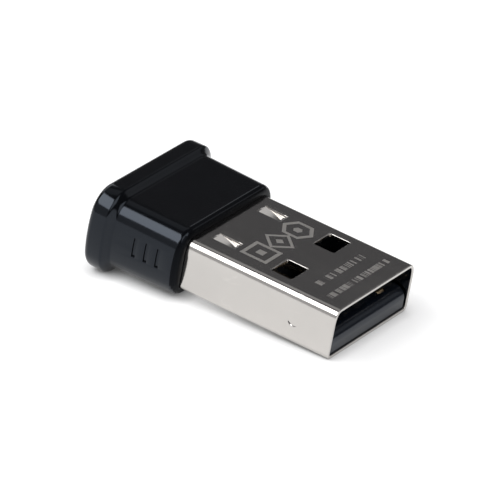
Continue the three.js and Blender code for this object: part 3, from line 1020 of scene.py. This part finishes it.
class ADAPTER_OT_carrier(bpy.types.Operator):
    """Model the contact carrier: its block, its tongue and the grooves that the contacts lie in"""

    bl_idname = "adapter.carrier"
    bl_label = "Contact carrier"

    def execute(self, context):
        colours = context.scene.adapter_inside
        ring = shell_ring(SHELL_HALF[0] - carrier_high.y)
        block_front = CAP_FRONT_X + 5.75 * MM
        side_gap = 0.03 * MM
        front_gap = 0.08 * MM
        bm = bmesh.new()
        first, last = loft(bm, [(carrier_low.x, ring), (block_front, ring)])
        bmesh.ops.edgeloop_fill(bm, edges=first)
        bmesh.ops.edgeloop_fill(bm, edges=last)
        bmesh.ops.recalc_face_normals(bm, faces=bm.faces)
        contacts = [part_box(name) for name in CONTACT_NODES]
        tongue_top = contacts[0][1].z - 0.06 * MM
        tongue_half = 5.5 * MM

        def is_front(face):
            return face.normal.x > 0.999

        score(bm, is_front, 1, (-tongue_half, tongue_half))
        score(bm, is_front, 2, (tongue_top,))
        spans = (
            centred(block_front, SKIN), centred(0.0, tongue_half), (carrier_low.z, tongue_top)
        )
        root = [face for face in faces_within(bm, *zip(*spans)) if is_front(face)]
        push_in(bm, root, (carrier_high.x - block_front, 0, 0))

        def at_lip(vert):
            return abs(vert.co.x - carrier_high.x) < SAME and abs(vert.co.z - tongue_top) < SAME

        lip = [edge for edge in bm.edges if all(at_lip(vert) for vert in edge.verts)]
        bevel_edges(bm, lip, 1.0 * MM, segments=12)

        def is_deck(face):
            return face.normal.z > 0.999 and abs(face.calc_center_median().z - tongue_top) < SAME

        for low, high in contacts:
            end_x = high.x + front_gap
            span_y = centred((low.y + high.y) / 2, (high.y - low.y) / 2 + side_gap)
            score(bm, is_deck, 1, span_y)
            score(bm, is_deck, 0, (end_x,))
            spans = ((block_front, end_x), span_y, centred(tongue_top, SKIN))
            push_in(bm, faces_within(bm, *zip(*spans)), (0, 0, low.z - GAP - tongue_top))
        bmesh.ops.recalc_face_normals(bm, faces=bm.faces)
        material = plastic_material(
            "carrier_plastic", colours.carrier, roughness=0.2, wear=0.5, tint=(0.78, 0.86, 1.0)
        )
        finish_piece(
            bm, "contact_tongue", "contact_carrier", [material],
            edge=0.04 * MM, angle=40.0,
        )
        return {"FINISHED"}


class ADAPTER_OT_contacts(bpy.types.Operator):
    """Model the four contacts as gold-plated strips whose tips dip into the tongue"""

    bl_idname = "adapter.contacts"
    bl_label = "Contacts"

    def execute(self, context):
        material = gold_material(context.scene.adapter_inside.gold)
        thickness = 0.25 * MM
        tip = 0.35 * MM
        taper = 0.2  # share of its width that a strip loses at its tip
        for node in CONTACT_NODES:
            low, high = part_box(node)
            dip = high.z - low.z - thickness
            middle = Vector(((low.x + high.x) / 2, (low.y + high.y) / 2, high.z))
            size = Matrix.Diagonal(((high.x - low.x) / 2, (high.y - low.y) / 2, 1.0, 1.0))
            bm = bmesh.new()
            bmesh.ops.create_grid(
                bm, x_segments=60, y_segments=2, size=1.0, matrix=Matrix.Translation(middle) @ size
            )
            for vert in bm.verts:
                curled = max(vert.co.x - (high.x - tip), 0.0) / tip
                vert.co.z -= dip * curled ** 2
                vert.co.y = middle.y + (vert.co.y - middle.y) * (1 - taper * curled ** 2)
            bmesh.ops.solidify(bm, geom=list(bm.faces), thickness=thickness)
            bmesh.ops.recalc_face_normals(bm, faces=bm.faces)
            name = node + "_strip"
            finish_piece(bm, name, node, [material], edge=0.03 * MM, angle=50.0)
        return {"FINISHED"}


# ---------------------------------------------------------------- board and soldered parts


class ADAPTER_OT_soldered_parts(bpy.types.Operator):
    """Model the small two-ended parts, each a rounded body with a tinned cap on both ends"""

    bl_idname = "adapter.soldered_parts"
    bl_label = "Soldered parts"

    def execute(self, context):
        tin = tinned_material()
        colours = (
            ("tan_ceramic", (0.36, 0.24, 0.13), 0.5),
            ("white_ceramic", (0.68, 0.66, 0.6), 0.5),
            ("grey_ferrite", (0.06, 0.06, 0.065), 0.6),
            ("resistor_film", (0.014, 0.014, 0.016), 0.45),
        )
        bodies = {
            name: ceramic_material(name, colour, roughness) for name, colour, roughness in colours
        }
        slots = {part["node"]: part["material_slot"] for part in frame["record"]["subparts"]}
        names = [f"capacitor_{number}" for number in range(1, 9)]
        names += ["resistor_1", "resistor_2", "ferrite_bead", "chip_antenna", "balun_filter"]
        for name in names:
            self.two_ended(name, slots[name], bodies[slots[name]], tin)
        return {"FINISHED"}

    def two_ended(self, name, slot, body, tin):
        """One part: a box whose waist is sunk a little between its tinned ends."""
        low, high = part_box(name)
        size = high - low
        axis = 0 if size.x > size.y else 1
        ends = 0.22 * size[axis]
        start, end = low[axis] + ends, high[axis] - ends
        bm = bmesh.new()
        slab(bm, low, high)
        score(bm, lambda face: True, axis, (start, end))
        waist = [face for face in bm.faces if start < face.calc_center_median()[axis] < end]
        for face in bm.faces:
            face.material_index = 0 if face in waist else 1
        bmesh.ops.inset_region(bm, faces=waist, thickness=0.0, depth=-0.02 * MM)
        finish_piece(bm, name + "_part", name, [body, tin], edge=0.06 * min(size), angle=40.0)


class ADAPTER_OT_board(bpy.types.Operator):
    """Finish the board, the chips, the crystal and the leads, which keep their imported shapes"""

    bl_idname = "adapter.board"
    bl_label = "Board and chips"

    def execute(self, context):
        colours = context.scene.adapter_inside
        epoxy = plastic_material(
            "chip_epoxy", colours.epoxy, roughness=0.5, wear=0.2, fine_scale=20000.0, bump=0.5
        )
        finishes = {
            "circuit_board": board_material(colours.mask),
            "radio_chip": epoxy,
            "memory_chip": epoxy,
            "voltage_regulator": epoxy,
            "crystal_base": bpy.data.materials["white_ceramic"],
            "crystal_lid": plated_material(
                "lid_metal", (0.68, 0.66, 0.62), roughness=0.25, etched=False
            ),
        }
        for number in range(1, 6):
            finishes[f"regulator_lead_{number}"] = bpy.data.materials["tinned_lead"]
        for name, material in finishes.items():
            node = frame["nodes"][name]
            node.data.materials.clear()
            node.data.materials.append(material)
        return {"FINISHED"}


# ---------------------------------------------------------------- stage


def facing(azimuth, elevation):
    """Unit vector towards a camera or lamp. Azimuth 0 is the near side, 90 degrees the mouth."""
    return Vector((
        math.sin(azimuth) * math.cos(elevation),
        -math.cos(azimuth) * math.cos(elevation),
        math.sin(elevation),
    ))


def add_softbox(name, azimuth, elevation, size, brightness):
    """A rectangular soft light that looks at the adapter. Brightness is what its face shows."""
    data = bpy.data.lights.new(name, "AREA")
    data.shape = "RECTANGLE"
    data.size, data.size_y = size
    data.energy = brightness * math.pi * size[0] * size[1]
    lamp = bpy.data.objects.new(name, data)
    way = facing(math.radians(azimuth), math.radians(elevation))
    lamp.location = way * LAMP_DISTANCE
    lamp.rotation_mode = "QUATERNION"
    lamp.rotation_quaternion = way.to_track_quat("Z", "Y")
    bpy.context.scene.collection.objects.link(lamp)


class ADAPTER_OT_stage(bpy.types.Operator):
    """Set the floor, the soft lights, the room and the camera"""

    bl_idname = "adapter.stage"
    bl_label = "Stage"

    def execute(self, context):
        settings = context.scene.adapter_stage
        self.lay_floor()
        for softbox in SOFTBOXES:
            add_softbox(*softbox)
        world = bpy.data.worlds.new("room")
        world.use_nodes = True
        backdrop = world.node_tree.nodes["Background"]
        cool = 1.05  # the room is a little bluer than grey
        backdrop.inputs["Color"].default_value = (*[settings.room] * 2, settings.room * cool, 1.0)
        backdrop.inputs["Strength"].default_value = 1.0
        context.scene.world = world
        context.scene.view_settings.view_transform = "Standard"
        context.scene.view_settings.look = "None"
        self.place_camera(context.scene, settings)
        return {"FINISHED"}

    def lay_floor(self):
        """The adapter lies on the ridge of its flange and on the lower edge of its mouth."""
        cap = bpy.context.scene.adapter_cap
        ridge_x = cap_low.x + cap.flange_length
        slope = math.atan2(shell_low.z - cap_low.z, MOUTH_X - ridge_x)
        bm = bmesh.new()
        bmesh.ops.create_grid(bm, x_segments=24, y_segments=24, size=FLOOR_HALF)
        bmesh.ops.rotate(bm, verts=bm.verts, matrix=Matrix.Rotation(-slope, 3, "Y"))
        drop = ridge_x * math.tan(slope) + 0.01 * MM
        bmesh.ops.translate(bm, verts=bm.verts, vec=(0, 0, -drop))
        mesh = bpy.data.meshes.new("floor")
        bm.to_mesh(mesh)
        bm.free()
        mesh.materials.append(floor_material())
        floor = bpy.data.objects.new("floor", mesh)
        bpy.context.scene.collection.objects.link(floor)

    def place_camera(self, scene, settings):
        """Stands the camera off the adapter and tips it about its line of sight."""
        data = bpy.data.cameras.new("camera")
        data.sensor_width = SENSOR_WIDTH
        data.lens = settings.lens
        data.clip_start = 0.01
        data.clip_end = 10.0
        data.dof.use_dof = False
        camera = bpy.data.objects.new("camera", data)
        way = facing(settings.azimuth, settings.elevation)
        camera.location = Vector(settings.aim) + way * settings.distance
        camera.rotation_mode = "QUATERNION"
        upright = way.to_track_quat("Z", "Y")
        camera.rotation_quaternion = upright @ Quaternion((0, 0, 1), settings.roll)
        scene.collection.objects.link(camera)
        scene.camera = camera


# ---------------------------------------------------------------- panel and registration

OPERATORS = (
    ADAPTER_OT_cap,
    ADAPTER_OT_plug_shell,
    ADAPTER_OT_carrier,
    ADAPTER_OT_contacts,
    ADAPTER_OT_soldered_parts,
    ADAPTER_OT_board,
    ADAPTER_OT_stage,
)
SETTINGS = {
    "adapter_cap": ADAPTER_PG_cap,
    "adapter_plug": ADAPTER_PG_plug,
    "adapter_inside": ADAPTER_PG_inside,
    "adapter_stage": ADAPTER_PG_stage,
}


class ADAPTER_PT_pieces(bpy.types.Panel):
    """Lists the adapter's settings and the steps that make it"""

    bl_idname = "ADAPTER_PT_pieces"
    bl_label = "USB radio adapter"
    bl_space_type = "VIEW_3D"
    bl_region_type = "UI"
    bl_category = "Adapter"

    def draw(self, context):
        layout = self.layout
        for attribute, group in SETTINGS.items():
            column = layout.column(align=True)
            for name in group.__annotations__:
                column.prop(getattr(context.scene, attribute), name)
        for operator in OPERATORS:
            layout.operator(operator.bl_idname)


def register():
    for group in SETTINGS.values():
        bpy.utils.register_class(group)
    for attribute, group in SETTINGS.items():
        setattr(bpy.types.Scene, attribute, PointerProperty(type=group))
    for operator in OPERATORS:
        bpy.utils.register_class(operator)
    bpy.utils.register_class(ADAPTER_PT_pieces)


def unregister():
    bpy.utils.unregister_class(ADAPTER_PT_pieces)
    for operator in reversed(OPERATORS):
        bpy.utils.unregister_class(operator)
    for attribute, group in SETTINGS.items():
        delattr(bpy.types.Scene, attribute)
        bpy.utils.unregister_class(group)


def main():
    """Makes every piece in turn."""
    register()
    for operator in OPERATORS:
        category, name = operator.bl_idname.split(".")
        getattr(getattr(bpy.ops, category), name)()
    bpy.context.view_layer.update()


if __name__ == "__main__":
    main()
